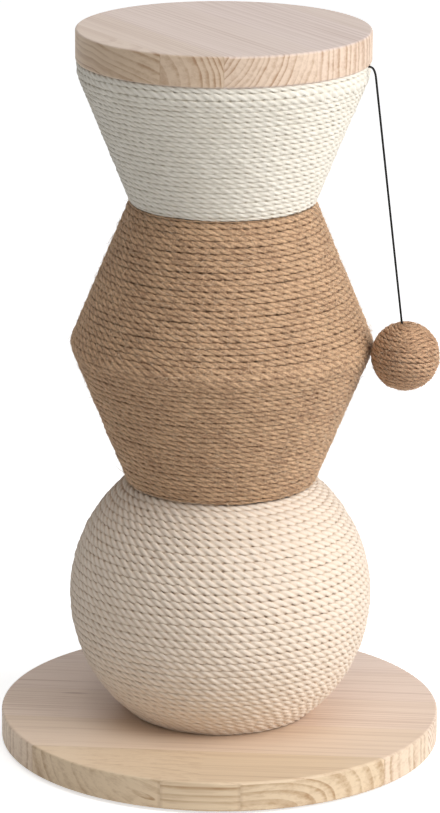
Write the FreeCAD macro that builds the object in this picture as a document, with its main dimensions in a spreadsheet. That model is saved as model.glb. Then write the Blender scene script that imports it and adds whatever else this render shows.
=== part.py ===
import FreeCAD, Part
import Sketcher
import math
import os

# Cat scratching post: a round base board, three rope-wrapped hollow forms (ball, double cone,
# collar) bolted on top of each other, a round top board, and a toy ball on a thin cord.
# Millimetres, +Z up. The origin is the middle of the plane that the base pads stand on.

SIZES = {
    # base board, its pads and its bolt
    "pad_count": 6,
    "pad_radius": 10.0,
    "pad_thick": 2.0,
    "pad_circle": 125.0,
    "base_radius": 150.0,
    "base_thick": 20.5,
    "edge_round": 1.5,
    "counterbore_radius": 13.0,
    "counterbore_depth": 7.0,
    "washer_radius": 11.0,
    "washer_thick": 1.6,
    "bolt_head_radius": 7.0,
    "bolt_head_height": 4.4,
    "bolt_socket_radius": 2.9,
    "bolt_socket_depth": 2.6,
    "bolt_radius": 4.0,
    "bolt_clearance": 0.3,
    "bolt_overrun": 2.0,
    # threaded inserts, joining studs and the plywood discs that carry them
    "thread_gap": 0.05,
    "insert_radius": 5.0,
    "insert_length": 9.0,
    "insert_fit": 0.1,
    "flange_radius": 11.0,
    "flange_thick": 1.5,
    "stud_length": 32.0,
    "disc_thick": 12.0,
    "glue_gap": 0.15,
    # ball form: its radius is the widest of all three forms
    "form_radius": 102.8,
    "ball_foot_radius": 61.85,
    "ball_head_radius": 62.6,
    "ball_wrap_wall": 5.2,
    "ball_shell_wall": 3.5,
    # double cone form: its waist is as wide as the ball, but for a small inset
    "cone_foot_step": 1.5,
    "waist_inset": 0.2,
    "neck_radius": 62.4,
    "cone_lower_height": 95.35,
    "cone_upper_height": 97.6,
    "waist_round": 10.0,
    "jute_wrap_wall": 4.5,
    "card_wall": 3.2,
    "waist_disc_thick": 12.0,
    "waist_disc_hole": 30.0,
    # collar form: it starts at the double cone's neck and ends just inside the top board's rim
    "flare_inset": 1.2,
    "band_inset": 0.8,
    "collar_flare_height": 85.55,
    "collar_band_height": 9.65,
    "white_wrap_wall": 4.2,
    # top board
    "top_inset": 4.8,
    "top_thick": 21.0,
    "board_insert_length": 13.0,
    "blind_hole_spare": 0.5,
    # toy: the cord leaves the rim of the top board and carries the ball
    "toy_azimuth": -13.0,
    "cord_radius": 0.75,
    "groove_side_gap": 0.2,
    "groove_floor_gap": 0.1,
    "stop_radius": 2.0,
    "stop_inset": 14.0,
    "stop_gap": 0.3,
    "root_overhang": 0.4,
    "elbow_radius": 2.2,
    "elbow_turn": 60.0,
    "elbow_run": 3.0,
    "joint_gap": 0.05,
    "toy_radius": 23.3,
    "toy_wrap_wall": 4.6,
    "toy_sag": 1.7,
    "rest_gap": 0.3,
    "toy_bore_radius": 1.2,
    "knot_radius": 2.2,
    "knot_cap_angle": 65.0,
    "knot_gap": 0.1,
    "knot_room_radius": 3.0,
    "knot_room_depth": 7.0,
}


class Size:
    """A length that knows both its value and the sheet expression that it comes from."""

    def __init__(self, value, text):
        self.value = float(value)
        self.text = text

    def __add__(self, other):
        other = as_size(other)
        return Size(self.value + other.value, f"({self.text} + {other.text})")

    def __sub__(self, other):
        other = as_size(other)
        return Size(self.value - other.value, f"({self.text} - {other.text})")

    def __mul__(self, other):
        other = as_size(other)
        return Size(self.value * other.value, f"({self.text} * {other.text})")

    def __truediv__(self, other):
        other = as_size(other)
        return Size(self.value / other.value, f"({self.text} / {other.text})")


def as_size(number):
    """A Size stays as it is, and a plain number becomes one."""
    if isinstance(number, Size):
        return number
    return Size(number, repr(float(number)))


# how far a cutting tool runs past the faces that it opens
OVERRUN = 1.0

doc = FreeCAD.newDocument("ScratchingPost")
sheet = doc.addObject("Spreadsheet::Sheet", "Sizes")
for row, (name, number) in enumerate(SIZES.items(), start=1):
    sheet.set(f"A{row}", name)
    sheet.set(f"B{row}", str(number))
    sheet.setAlias(f"B{row}", name)
doc.recompute()


def size(name):
    """The driving dimension of that name."""
    return Size(SIZES[name], f"Sizes.{name}")


def bind(item, **sizes):
    """Tie properties of a document object to sizes."""
    for name, length in sizes.items():
        item.setExpression(name, as_size(length).text)


def place(item, x=None, y=None, z=None):
    """Tie the position of a document object to sizes."""
    for axis, length in (("x", x), ("y", y), ("z", z)):
        if length is not None:
            item.setExpression(f"Placement.Base.{axis}", as_size(length).text)


# ---------------------------------------------------------------- makers shared by the pieces

def cylinder(name, radius, height, z):
    """An upright cylinder on the centre line."""
    item = doc.addObject("Part::Cylinder", name)
    bind(item, Radius=radius, Height=height)
    place(item, z=z)
    return item


def cut(label, base, tool):
    """The base with the tool's volume taken away."""
    item = doc.addObject("Part::Cut", label)
    item.Base = base
    item.Tool = tool
    return item


def fuse(label, *pieces):
    """One solid of several overlapping ones."""
    item = doc.addObject("Part::MultiFuse", label)
    item.Shapes = list(pieces)
    return item


def group(label, pieces):
    """Separate identical solids under one name."""
    item = doc.addObject("Part::Compound", label)
    item.Links = list(pieces)
    return item


def origin_plane(body, role):
    """The body's own origin plane of that role."""
    return next(part for part in body.Origin.OriginFeatures if part.Role == role)


def turned(label, corners):
    """A body turned about the centre line from the (radius, height) corners of its outline."""
    body = doc.addObject("PartDesign::Body", label)
    sketch = body.newObject("Sketcher::SketchObject", f"{label}_outline")
    sketch.AttachmentSupport = [(origin_plane(body, "XZ_Plane"), "")]
    sketch.MapMode = "FlatFace"
    corners = [(as_size(radius), as_size(height)) for radius, height in corners]
    points = [FreeCAD.Vector(radius.value, height.value, 0) for radius, height in corners]
    for start, end in zip(points, points[1:] + points[:1]):
        sketch.addGeometry(Part.LineSegment(start, end), False)
    for index in range(len(points)):
        following = (index + 1) % len(points)
        sketch.addConstraint(Sketcher.Constraint("Coincident", index, 2, following, 1))
    for index, pair in enumerate(corners):
        for kind, own_axis, length in (("DistanceX", -2, pair[0]), ("DistanceY", -1, pair[1])):
            if length.value == 0:
                sketch.addConstraint(Sketcher.Constraint("PointOnObject", index, 1, own_axis))
                continue
            rule = Sketcher.Constraint(kind, -1, 1, index, 1, length.value)
            number = sketch.addConstraint(rule)
            sketch.setExpression(f"Constraints[{number}]", length.text)
    turn = body.newObject("PartDesign::Revolution", f"{label}_turn")
    turn.Profile = sketch
    turn.ReferenceAxis = (sketch, ["V_Axis"])
    turn.Angle = 360
    return body


def round_rim(body, radius, heights, rounding):
    """Round the circular edges of a turned body that have that radius and those heights."""
    doc.recompute()
    turn = body.Tip
    names = []
    for number, edge in enumerate(turn.Shape.Edges, start=1):
        if not isinstance(edge.Curve, Part.Circle):
            continue
        middle = edge.Curve.Center.z
        on_rim = abs(edge.Curve.Radius - radius.value) < 0.01
        if on_rim and any(abs(middle - height.value) < 0.01 for height in heights):
            names.append(f"Edge{number}")
    fillet = body.newObject("PartDesign::Fillet", f"{body.Name}_rounding")
    fillet.Base = (turn, names)
    bind(fillet, Radius=rounding)
    body.Tip = fillet


def sphere_zone(label, radius, middle, low, high):
    """The slice of a sphere between two heights."""
    sphere = doc.addObject("Part::Sphere", f"{label}_sphere")
    bind(sphere, Radius=radius)
    place(sphere, z=middle)
    slab = cylinder(f"{label}_slab", radius + OVERRUN, high - low, low)
    item = doc.addObject("Part::Common", label)
    item.Base = sphere
    item.Tool = slab
    return item


def sphere_shell(label, outer, inner, middle, low, high):
    """The wall between two spheres of one centre, between two heights."""
    outside = sphere_zone(f"{label}_outside", outer, middle, low, high)
    hollow = doc.addObject("Part::Sphere", f"{label}_hollow")
    bind(hollow, Radius=inner)
    place(hollow, z=middle)
    return cut(label, outside, hollow)


# ---------------------------------------------------------------- levels, from the floor up

def half_chord(radius, end_radius):
    """How far from a ball's middle its section has that end radius."""
    square = radius * radius - end_radius * end_radius
    return Size(math.sqrt(square.value), f"sqrt{square.text}")


pad_thick = size("pad_thick")
disc_thick = size("disc_thick")
glue_gap = size("glue_gap")
bolt_radius = size("bolt_radius")
form_radius = size("form_radius")
top_radius = form_radius - size("top_inset")
insert_hole = size("insert_radius") + size("insert_fit")

base_top = pad_thick + size("base_thick")
ball_middle = base_top + half_chord(form_radius, size("ball_foot_radius"))
ball_top = ball_middle + half_chord(form_radius, size("ball_head_radius"))
waist_level = ball_top + size("cone_lower_height")
cone_top = waist_level + size("cone_upper_height")
flare_top = cone_top + size("collar_flare_height")
board_under = flare_top + size("collar_band_height")
board_top = board_under + size("top_thick")


# ---------------------------------------------------------------- base board and what is in it

def base_board():
    """Glued pine board, with a stepped hole for the bolt from below."""
    step = pad_thick + size("counterbore_depth")
    hole = bolt_radius + size("bolt_clearance")
    body = turned("base_board", [
        (size("counterbore_radius"), pad_thick),
        (size("base_radius"), pad_thick),
        (size("base_radius"), base_top),
        (hole, base_top),
        (hole, step),
        (size("counterbore_radius"), step),
    ])
    round_rim(body, size("base_radius"), [pad_thick, base_top], size("edge_round"))
    return body


def base_pads():
    """Felt discs that keep the board off the floor."""
    pads = []
    for number in range(SIZES["pad_count"]):
        pad = doc.addObject("Part::Cylinder", f"pad_{number + 1}")
        angle = 360 * number / SIZES["pad_count"]
        bind(pad, Radius=size("pad_radius"), Height=pad_thick)
        place(pad, x=size("pad_circle") * math.cos(math.radians(angle)),
              y=size("pad_circle") * math.sin(math.radians(angle)))
        pads.append(pad)
    return group("base_pads", pads)


def base_washer():
    """Steel washer at the top of the counterbore."""
    seat = pad_thick + size("counterbore_depth")
    ring = cylinder("washer_blank", size("washer_radius"), size("washer_thick"),
                    seat - size("washer_thick"))
    hole = cylinder("washer_hole", bolt_radius + size("bolt_clearance"), size("washer_thick"),
                    seat - size("washer_thick"))
    return cut("base_washer", ring, hole)


def base_bolt():
    """Hexagon-socket bolt that holds the ball form to the base board."""
    head_top = pad_thick + size("counterbore_depth") - size("washer_thick")
    head_low = head_top - size("bolt_head_height")
    tip = base_top + disc_thick + size("flange_thick") + size("bolt_overrun")
    head = cylinder("bolt_head", size("bolt_head_radius"), size("bolt_head_height"), head_low)
    in_head = size("bolt_head_height") - size("bolt_socket_depth")
    shank = cylinder("bolt_shank", bolt_radius, tip - head_top + in_head, head_top - in_head)
    socket = doc.addObject("Part::Prism", "bolt_socket")
    socket.Polygon = 6
    bind(socket, Circumradius=size("bolt_socket_radius"), Height=size("bolt_socket_depth"))
    place(socket, z=head_low)
    return cut("base_bolt", fuse("bolt_blank", head, shank), socket)


# ---------------------------------------------------------------- inserts and studs

def insert_nut(name, disc_face, side):
    """Flanged insert on the inner face of a disc: its barrel goes into the disc's hole."""
    flange_z = disc_face if side > 0 else disc_face - size("flange_thick")
    barrel_z = disc_face - size("insert_length") if side > 0 else disc_face
    flange = cylinder(f"{name}_flange", size("flange_radius"), size("flange_thick"), flange_z)
    barrel = cylinder(f"{name}_barrel", size("insert_radius"), size("insert_length"), barrel_z)
    thread = cylinder(f"{name}_thread", bolt_radius + size("thread_gap"),
                      size("insert_length") + size("flange_thick") + 2 * OVERRUN,
                      (barrel_z if side > 0 else flange_z) - OVERRUN)
    return cut(name, fuse(f"{name}_blank", flange, barrel), thread)


def insert_nuts():
    """Six alike, one in each end disc of the three forms."""
    return group("insert_nuts", [
        insert_nut("ball_foot_insert", base_top + disc_thick, 1),
        insert_nut("ball_head_insert", ball_top - disc_thick, -1),
        insert_nut("cone_foot_insert", ball_top + disc_thick, 1),
        insert_nut("cone_head_insert", cone_top - disc_thick, -1),
        insert_nut("collar_foot_insert", cone_top + disc_thick, 1),
        insert_nut("collar_head_insert", board_under - disc_thick, -1),
    ])


def joining_studs():
    """Three studs, each across the joint between two stacked pieces."""
    half = size("stud_length") / 2
    studs = []
    levels = {"ball_stud": ball_top, "cone_stud": cone_top, "top_stud": board_under}
    for name, level in levels.items():
        studs.append(cylinder(name, bolt_radius, size("stud_length"), level - half))
    return group("joining_studs", studs)


def board_insert():
    """Threaded sleeve in the underside of the top board."""
    length = size("board_insert_length")
    sleeve = cylinder("sleeve_blank", size("insert_radius"), length, board_under)
    thread = cylinder("sleeve_thread", bolt_radius + size("thread_gap"), length + 2 * OVERRUN,
                      board_under - OVERRUN)
    return cut("board_insert", sleeve, thread)


# ---------------------------------------------------------------- ball form

def ball_form():
    """Rope wrap over two half shells, with a plywood disc inside each flattened end."""
    wrap_inner = form_radius - size("ball_wrap_wall")
    shell_outer = wrap_inner - glue_gap
    shell_inner = shell_outer - size("ball_shell_wall")
    disc_radius = shell_inner - glue_gap
    foot_disc = sphere_zone("ball_foot_blank", disc_radius, ball_middle, base_top,
                            base_top + disc_thick)
    head_disc = sphere_zone("ball_head_blank", disc_radius, ball_middle, ball_top - disc_thick,
                            ball_top)
    return [
        sphere_shell("ball_rope_wrap", form_radius, wrap_inner, ball_middle, base_top,
                     ball_top),
        sphere_shell("ball_lower_shell", shell_outer, shell_inner, ball_middle, base_top,
                     ball_middle),
        sphere_shell("ball_upper_shell", shell_outer, shell_inner, ball_middle, ball_middle,
                     ball_top),
        disc_with_hole("ball_lower_disc", foot_disc, base_top),
        disc_with_hole("ball_upper_disc", head_disc, ball_top - disc_thick),
    ]


def disc_with_hole(label, disc, low):
    """A disc with the hole for a threaded insert."""
    hole = cylinder(f"{label}_hole", insert_hole, disc_thick + 2 * OVERRUN, low - OVERRUN)
    return cut(label, disc, hole)


def sloped_disc(label, low, low_radius, high, high_radius):
    """A disc with a conical rim and the hole for a threaded insert."""
    return turned(label, [
        (insert_hole, low),
        (low_radius, low),
        (high_radius, high),
        (insert_hole, high),
    ])


# ---------------------------------------------------------------- double cone form

def double_cone_form():
    """Rope wrap over two rolled card cones, which three plywood discs keep round."""
    foot = size("ball_head_radius") + size("cone_foot_step")
    waist = form_radius - size("waist_inset")
    neck = size("neck_radius")
    wall = size("jute_wrap_wall")
    card = size("card_wall")
    to_card = wall + glue_gap
    to_disc = to_card + card + glue_gap
    lower_slope = (waist - foot) / size("cone_lower_height")
    upper_slope = (waist - neck) / size("cone_upper_height")
    half_disc = size("waist_disc_thick") / 2
    wrap = turned("jute_rope_wrap", [
        (foot - wall, ball_top),
        (foot, ball_top),
        (waist, waist_level),
        (neck, cone_top),
        (neck - wall, cone_top),
        (waist - wall, waist_level),
    ])
    round_rim(wrap, waist, [waist_level], size("waist_round"))
    lower_shell = turned("cone_lower_shell", [
        (foot - to_card - card, ball_top),
        (foot - to_card, ball_top),
        (waist - to_card, waist_level),
        (waist - to_card - card, waist_level),
    ])
    upper_shell = turned("cone_upper_shell", [
        (waist - to_card - card, waist_level),
        (waist - to_card, waist_level),
        (neck - to_card, cone_top),
        (neck - to_card - card, cone_top),
    ])
    waist_disc = turned("cone_waist_disc", [
        (size("waist_disc_hole"), waist_level - half_disc),
        (waist - to_disc - lower_slope * half_disc, waist_level - half_disc),
        (waist - to_disc, waist_level),
        (waist - to_disc - upper_slope * half_disc, waist_level + half_disc),
        (size("waist_disc_hole"), waist_level + half_disc),
    ])
    return [
        wrap,
        lower_shell,
        upper_shell,
        waist_disc,
        sloped_disc("cone_lower_disc", ball_top, foot - to_disc,
                    ball_top + disc_thick, foot - to_disc + lower_slope * disc_thick),
        sloped_disc("cone_upper_disc", cone_top - disc_thick,
                    neck - to_disc + upper_slope * disc_thick, cone_top, neck - to_disc),
    ]


# ---------------------------------------------------------------- collar form

def collar_form():
    """Rope wrap over one flared card shell with a disc in each end."""
    foot = size("neck_radius")
    rim = top_radius - size("flare_inset")
    band = top_radius - size("band_inset")
    wall = size("white_wrap_wall")
    card = size("card_wall")
    to_card = wall + glue_gap
    to_disc = to_card + card + glue_gap
    slope = (rim - foot) / size("collar_flare_height")
    disc_low = board_under - disc_thick
    below_rim = flare_top - disc_low
    return [
        turned("white_rope_wrap", [
            (foot - wall, cone_top),
            (foot, cone_top),
            (rim, flare_top),
            (band, board_under),
            (band - wall, board_under),
            (rim - wall, flare_top),
        ]),
        turned("collar_shell", [
            (foot - to_card - card, cone_top),
            (foot - to_card, cone_top),
            (rim - to_card, flare_top),
            (band - to_card, board_under),
            (band - to_card - card, board_under),
            (rim - to_card - card, flare_top),
        ]),
        sloped_disc("collar_lower_disc", cone_top, foot - to_disc,
                    cone_top + disc_thick, foot - to_disc + slope * disc_thick),
        turned("collar_upper_disc", [
            (insert_hole, disc_low),
            (rim - to_disc - slope * below_rim, disc_low),
            (rim - to_disc, flare_top),
            (band - to_disc, board_under),
            (insert_hole, board_under),
        ]),
    ]


# ---------------------------------------------------------------- toy: where its cord runs
# The cord lies in one upright plane through the centre line, turned to the toy's azimuth.
# Its points are (distance from the centre line, height).

toy_plane = FreeCAD.Rotation(FreeCAD.Vector(0, 0, 1), SIZES["toy_azimuth"])
cord_radius = SIZES["cord_radius"]
cord_level = board_under.value + SIZES["groove_floor_gap"] + cord_radius
stop_out = top_radius.value - SIZES["stop_inset"]
elbow_out = top_radius.value + SIZES["root_overhang"]
turn = math.radians(SIZES["elbow_turn"])
bend_out = elbow_out + SIZES["elbow_radius"] * math.sin(turn)
bend_level = cord_level - SIZES["elbow_radius"] * (1 - math.cos(turn))
hinge_out = bend_out + SIZES["elbow_run"] * math.cos(turn)
hinge_level = bend_level - SIZES["elbow_run"] * math.sin(turn)

waist_radius = form_radius.value - SIZES["waist_inset"]
foot_radius = SIZES["ball_head_radius"] + SIZES["cone_foot_step"]
lower_angle = math.atan2(waist_radius - foot_radius, SIZES["cone_lower_height"])
upper_angle = math.atan2(waist_radius - SIZES["neck_radius"], SIZES["cone_upper_height"])
rounded_off = SIZES["waist_round"] * (1 / math.cos((lower_angle + upper_angle) / 2) - 1)
waist_reach = waist_radius - rounded_off
toy_out = waist_reach + SIZES["toy_radius"] + SIZES["rest_gap"]
toy_level = waist_level.value - SIZES["toy_sag"]

hang = FreeCAD.Vector(toy_out - hinge_out, 0, toy_level - hinge_level)
hang_length = hang.Length
hang.normalize()
hang_turn = FreeCAD.Rotation(FreeCAD.Vector(0, 0, 1), hang)


def in_toy_plane(out, level):
    """A point of the toy's plane."""
    return FreeCAD.Vector(out, 0, level)


def toy_feature(label, shape):
    """A finished shape of the toy, turned from the XZ plane to the toy's azimuth."""
    item = doc.addObject("Part::Feature", label)
    item.Shape = shape
    item.Placement = FreeCAD.Placement(FreeCAD.Vector(0, 0, 0), toy_plane) * item.Placement
    return item


def along_cord(shape, distance):
    """A shape made about +Z, laid along the hanging cord from that distance below its hinge."""
    start = in_toy_plane(hinge_out, hinge_level) + hang * distance
    shape.Placement = FreeCAD.Placement(start, hang_turn)
    return shape


# ---------------------------------------------------------------- top board

def top_board():
    """Glued pine board: blind hole for its insert, and a groove that lets the cord out."""
    depth = size("stud_length") / 2 + size("blind_hole_spare")
    body = turned("top_board_blank", [
        (insert_hole, board_under),
        (top_radius, board_under),
        (top_radius, board_top),
        (0, board_top),
        (0, board_under + depth),
        (insert_hole, board_under + depth),
    ])
    round_rim(body, top_radius, [board_under, board_top], size("edge_round"))
    half_width = cord_radius + SIZES["groove_side_gap"]
    groove_depth = 2 * (cord_radius + SIZES["groove_floor_gap"])
    under = board_under.value - OVERRUN
    groove = Part.makeBox(SIZES["stop_inset"] + OVERRUN, 2 * half_width, groove_depth + OVERRUN,
                          FreeCAD.Vector(stop_out, -half_width, under))
    room_radius = SIZES["stop_radius"] + SIZES["stop_gap"]
    room_top = cord_level + room_radius
    room = Part.makeCylinder(room_radius, room_top - under, in_toy_plane(stop_out, under))
    recess = toy_feature("cord_recess", groove.fuse(room))
    return cut("top_board", body, recess)


# ---------------------------------------------------------------- toy pieces

def cord_root():
    """Knot in the board's pocket and the cord that lies in the groove."""
    knot = Part.makeSphere(SIZES["stop_radius"], in_toy_plane(stop_out, cord_level))
    under = board_under.value + SIZES["groove_floor_gap"]
    side = 4 * SIZES["stop_radius"]
    corner = FreeCAD.Vector(stop_out - side / 2, -side / 2, under - side)
    knot = knot.cut(Part.makeBox(side, side, side, corner))
    run = Part.makeCylinder(cord_radius, elbow_out - stop_out, in_toy_plane(stop_out, cord_level),
                            FreeCAD.Vector(1, 0, 0))
    return toy_feature("toy_cord_root", knot.fuse(run).removeSplitter())


def cord_elbow():
    """Cord that bends over the rim: an arc, a short run and a round end at the hinge."""
    start = in_toy_plane(elbow_out, cord_level)
    bend = in_toy_plane(bend_out, bend_level)
    hinge = in_toy_plane(hinge_out, hinge_level)
    centre = in_toy_plane(elbow_out, cord_level - SIZES["elbow_radius"])
    outward = FreeCAD.Vector(math.sin(turn / 2), 0, math.cos(turn / 2))
    arc = Part.Arc(start, centre + outward * SIZES["elbow_radius"], bend)
    path = Part.Wire([arc.toShape(), Part.LineSegment(bend, hinge).toShape()])
    section = Part.Wire([Part.Circle(start, FreeCAD.Vector(1, 0, 0), cord_radius).toShape()])
    tube = path.makePipeShell([section], True, True)
    expected = math.pi * cord_radius ** 2 * path.Length
    print(f"cord elbow: radius {SIZES['elbow_radius']} mm, volume {tube.Volume:.3f} mm3, "
          f"section times length {expected:.3f} mm3")
    return toy_feature("toy_cord_elbow", tube.fuse(Part.makeSphere(cord_radius, hinge)))


def hanging_cord():
    """The straight cord, from just under its hinge to the knot inside the toy ball."""
    top = cord_radius + SIZES["joint_gap"]
    run = Part.makeCylinder(cord_radius, knot_top() - top)
    print(f"hanging cord: straight, {knot_top() - top:.1f} mm, "
          f"{hang_length - SIZES['toy_radius']:.1f} mm of it above the ball")
    return toy_feature("toy_cord", along_cord(run, top))


def knot_middle():
    """How far below the hinge the knot's middle is."""
    core_radius = toy_core_radius()
    shoulder = core_radius - SIZES["knot_room_depth"]
    cap = SIZES["knot_radius"] * math.sin(math.radians(SIZES["knot_cap_angle"]))
    return hang_length + shoulder + SIZES["knot_gap"] + cap


def knot_top():
    """How far below the hinge the knot's flat top is."""
    return knot_middle() - SIZES["knot_radius"] * math.sin(math.radians(SIZES["knot_cap_angle"]))


def toy_core_radius():
    """Outer radius of the wooden core inside the toy ball's wrap."""
    return SIZES["toy_radius"] - SIZES["toy_wrap_wall"] - SIZES["glue_gap"]


def cord_knot():
    """Knot on the end of the cord: it carries the ball from inside."""
    cap = SIZES["knot_cap_angle"]
    knot = Part.makeSphere(SIZES["knot_radius"], FreeCAD.Vector(0, 0, 0), FreeCAD.Vector(0, 0, -1),
                           -90, cap, 360)
    return toy_feature("toy_cord_knot", along_cord(knot, knot_middle()))


def toy_core():
    """Wooden ball, bored for the cord, with a wider room for the knot at its lower side."""
    core_radius = toy_core_radius()
    core = Part.makeSphere(core_radius)
    bore = Part.makeCylinder(SIZES["toy_bore_radius"], 2 * (core_radius + OVERRUN),
                             FreeCAD.Vector(0, 0, -core_radius - OVERRUN))
    room = Part.makeCylinder(SIZES["knot_room_radius"], SIZES["knot_room_depth"] + OVERRUN,
                             FreeCAD.Vector(0, 0, core_radius - SIZES["knot_room_depth"]))
    return toy_feature("toy_ball_core", along_cord(core.cut(bore.fuse(room)), hang_length))


def toy_wrap():
    """Jute wound round the core, open at the top for the cord."""
    ball = Part.makeSphere(SIZES["toy_radius"])
    hollow = Part.makeSphere(SIZES["toy_radius"] - SIZES["toy_wrap_wall"])
    bore = Part.makeCylinder(SIZES["toy_bore_radius"], SIZES["toy_radius"] + OVERRUN,
                             FreeCAD.Vector(0, 0, -SIZES["toy_radius"] - OVERRUN))
    return toy_feature("toy_ball_wrap", along_cord(ball.cut(hollow).cut(bore), hang_length))


# ---------------------------------------------------------------- assembly and files

pieces = [
    base_board(),
    base_pads(),
    base_washer(),
    base_bolt(),
    insert_nuts(),
    joining_studs(),
    board_insert(),
    *ball_form(),
    *double_cone_form(),
    *collar_form(),
    top_board(),
    cord_root(),
    cord_elbow(),
    hanging_cord(),
    cord_knot(),
    toy_core(),
    toy_wrap(),
]
doc.recompute()

for item in doc.Objects:
    if "Invalid" in item.State or "Error" in item.State:
        raise RuntimeError(f"{item.Label} failed: {item.State}")
for piece in pieces:
    if piece.Shape.isNull() or not piece.Shape.isValid():
        raise RuntimeError(f"{piece.Label} has no valid shape")

os.makedirs("parts", exist_ok=True)
for piece in pieces:
    piece.Shape.exportStep(f"parts/{piece.Label}.step")
    print(f"{piece.Label}: {len(piece.Shape.Solids)} solid(s), {piece.Shape.Volume / 1000:.2f} cm3")

for name, out, level in (("cord hinge", hinge_out, hinge_level), ("toy ball", toy_out, toy_level),
                         ("cord rim", elbow_out, cord_level)):
    spot = toy_plane.multVec(in_toy_plane(out, level))
    print(f"{name}: {spot.x:.3f}, {spot.y:.3f}, {spot.z:.3f}")
along = toy_plane.multVec(hang)
print(f"cord direction: {along.x:.5f}, {along.y:.5f}, {along.z:.5f}")
print(f"cord root {elbow_out - stop_out:.2f} mm, knot middle {knot_middle():.3f} mm below the hinge")
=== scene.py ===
"""Cat scratching post: rope-wrapped ball, double cone and collar between two round pine boards,
with a jute toy ball on an elastic cord. Lengths are in metres."""
import math

import bmesh
import bpy
import numpy as np
from mathutils import Matrix, Vector


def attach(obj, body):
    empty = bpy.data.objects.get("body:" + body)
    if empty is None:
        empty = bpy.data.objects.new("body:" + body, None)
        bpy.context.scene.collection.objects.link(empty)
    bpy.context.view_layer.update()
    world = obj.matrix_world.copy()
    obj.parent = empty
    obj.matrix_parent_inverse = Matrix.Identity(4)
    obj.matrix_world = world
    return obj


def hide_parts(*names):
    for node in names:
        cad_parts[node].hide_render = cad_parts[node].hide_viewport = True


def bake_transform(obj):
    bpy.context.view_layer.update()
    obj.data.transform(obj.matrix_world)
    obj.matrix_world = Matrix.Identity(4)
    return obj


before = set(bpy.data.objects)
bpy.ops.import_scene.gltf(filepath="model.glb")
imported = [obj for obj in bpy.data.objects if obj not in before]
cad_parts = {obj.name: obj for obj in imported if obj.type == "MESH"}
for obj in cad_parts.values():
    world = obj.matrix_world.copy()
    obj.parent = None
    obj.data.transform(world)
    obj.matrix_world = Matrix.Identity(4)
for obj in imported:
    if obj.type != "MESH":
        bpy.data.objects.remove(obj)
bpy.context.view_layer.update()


# ------------------------------------------------------------------ camera
# The camera stands 2.7 m in front of the post and half a metre above its top. It looks down
# through a long lens, as it did for the photograph. Its angles are in radians.

CAMERA_PLACE = Vector((0, -2.6667, 1.00307))
CAMERA_DOWN = 0.28013
CAMERA_TURN = -0.000377
CAMERA_ROLL = 0.0064
LENS = 181.9

scene = bpy.context.scene
camera_data = bpy.data.cameras.new("camera")
camera_data.lens = LENS
camera_data.sensor_width = 36
camera_data.clip_start = 0.05
camera = bpy.data.objects.new("camera", camera_data)
scene.collection.objects.link(camera)
ahead = Vector((math.sin(CAMERA_TURN) * math.cos(CAMERA_DOWN),
                math.cos(CAMERA_TURN) * math.cos(CAMERA_DOWN),
                -math.sin(CAMERA_DOWN)))
level = Vector((math.cos(CAMERA_TURN), -math.sin(CAMERA_TURN), 0))
upward = level.cross(ahead)
right = math.cos(CAMERA_ROLL) * level + math.sin(CAMERA_ROLL) * upward
upward = math.cos(CAMERA_ROLL) * upward - math.sin(CAMERA_ROLL) * level
turned = Matrix((right, upward, -ahead)).transposed().to_4x4()
camera.matrix_world = Matrix.Translation(CAMERA_PLACE) @ turned
scene.camera = camera


# ------------------------------------------------------------------ felt pads
# Six round felt pads are glued under the base board, so that it doesn't scratch the floor.
# Pressed grey felt, cut with a punch.

def new_material(name, **values):
    """A material with one Principled shader, whose sockets get the values given."""
    material = bpy.data.materials.new(name)
    material.use_nodes = True
    shader = material.node_tree.nodes["Principled BSDF"]
    for socket, value in values.items():
        shader.inputs[socket.replace("_", " ")].default_value = value
    return material


def add(tree, kind, *links, **settings):
    """A node of that kind; links are (socket, source socket or value) pairs."""
    made = tree.nodes.new("ShaderNode" + kind)
    for key, value in settings.items():
        setattr(made, key, value)
    for socket, source in links:
        if isinstance(source, bpy.types.NodeSocket):
            tree.links.new(source, made.inputs[socket])
        else:
            made.inputs[socket].default_value = source
    return made


def maths(tree, operation, first, second=0.0):
    """A Math node's result."""
    return add(tree, "Math", (0, first), (1, second), operation=operation).outputs[0]


def mixed(tree, share, first, second):
    """A colour between two, by share."""
    made = add(tree, "Mix", (0, share), (6, first), (7, second), data_type="RGBA")
    return made.outputs[2]


def remap(tree, value, low, high, to_low, to_high):
    """The value moved from one range to another, and kept inside it."""
    made = add(tree, "MapRange", (0, value), (1, low), (2, high), (3, to_low), (4, to_high))
    return made.outputs[0]


def bump(material, height, strength, distance):
    """Lets a height roughen the material's surface."""
    tree = material.node_tree
    made = add(tree, "Bump", ("Strength", strength), ("Distance", distance), ("Height", height))
    tree.links.new(made.outputs[0], tree.nodes["Principled BSDF"].inputs["Normal"])


def into(material, socket, source):
    """Links a source to one of the shader's sockets."""
    tree = material.node_tree
    tree.links.new(source, tree.nodes["Principled BSDF"].inputs[socket])


def stretched(tree, at, scale):
    """A place, stretched by scale along each axis."""
    return add(tree, "Mapping", ("Vector", at), ("Scale", scale)).outputs[0]


def place_of(tree, scale=(1, 1, 1)):
    """The point's place on the object, stretched by scale."""
    return stretched(tree, add(tree, "TexCoord").outputs["Object"], scale)


def noise(tree, at, scale, detail=2.0, rough=0.5):
    """Noise from 0 to 1 around 0.5."""
    made = add(tree, "TexNoise", ("Vector", at), ("Scale", scale), ("Detail", detail),
               ("Roughness", rough))
    return made.outputs[0]


def dress(node, material):
    """Gives a carried-over CAD node its material, in every slot that it has."""
    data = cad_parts[node].data
    if not data.materials:
        data.materials.append(material)
    for index in range(len(data.materials)):
        data.materials[index] = material


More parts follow.
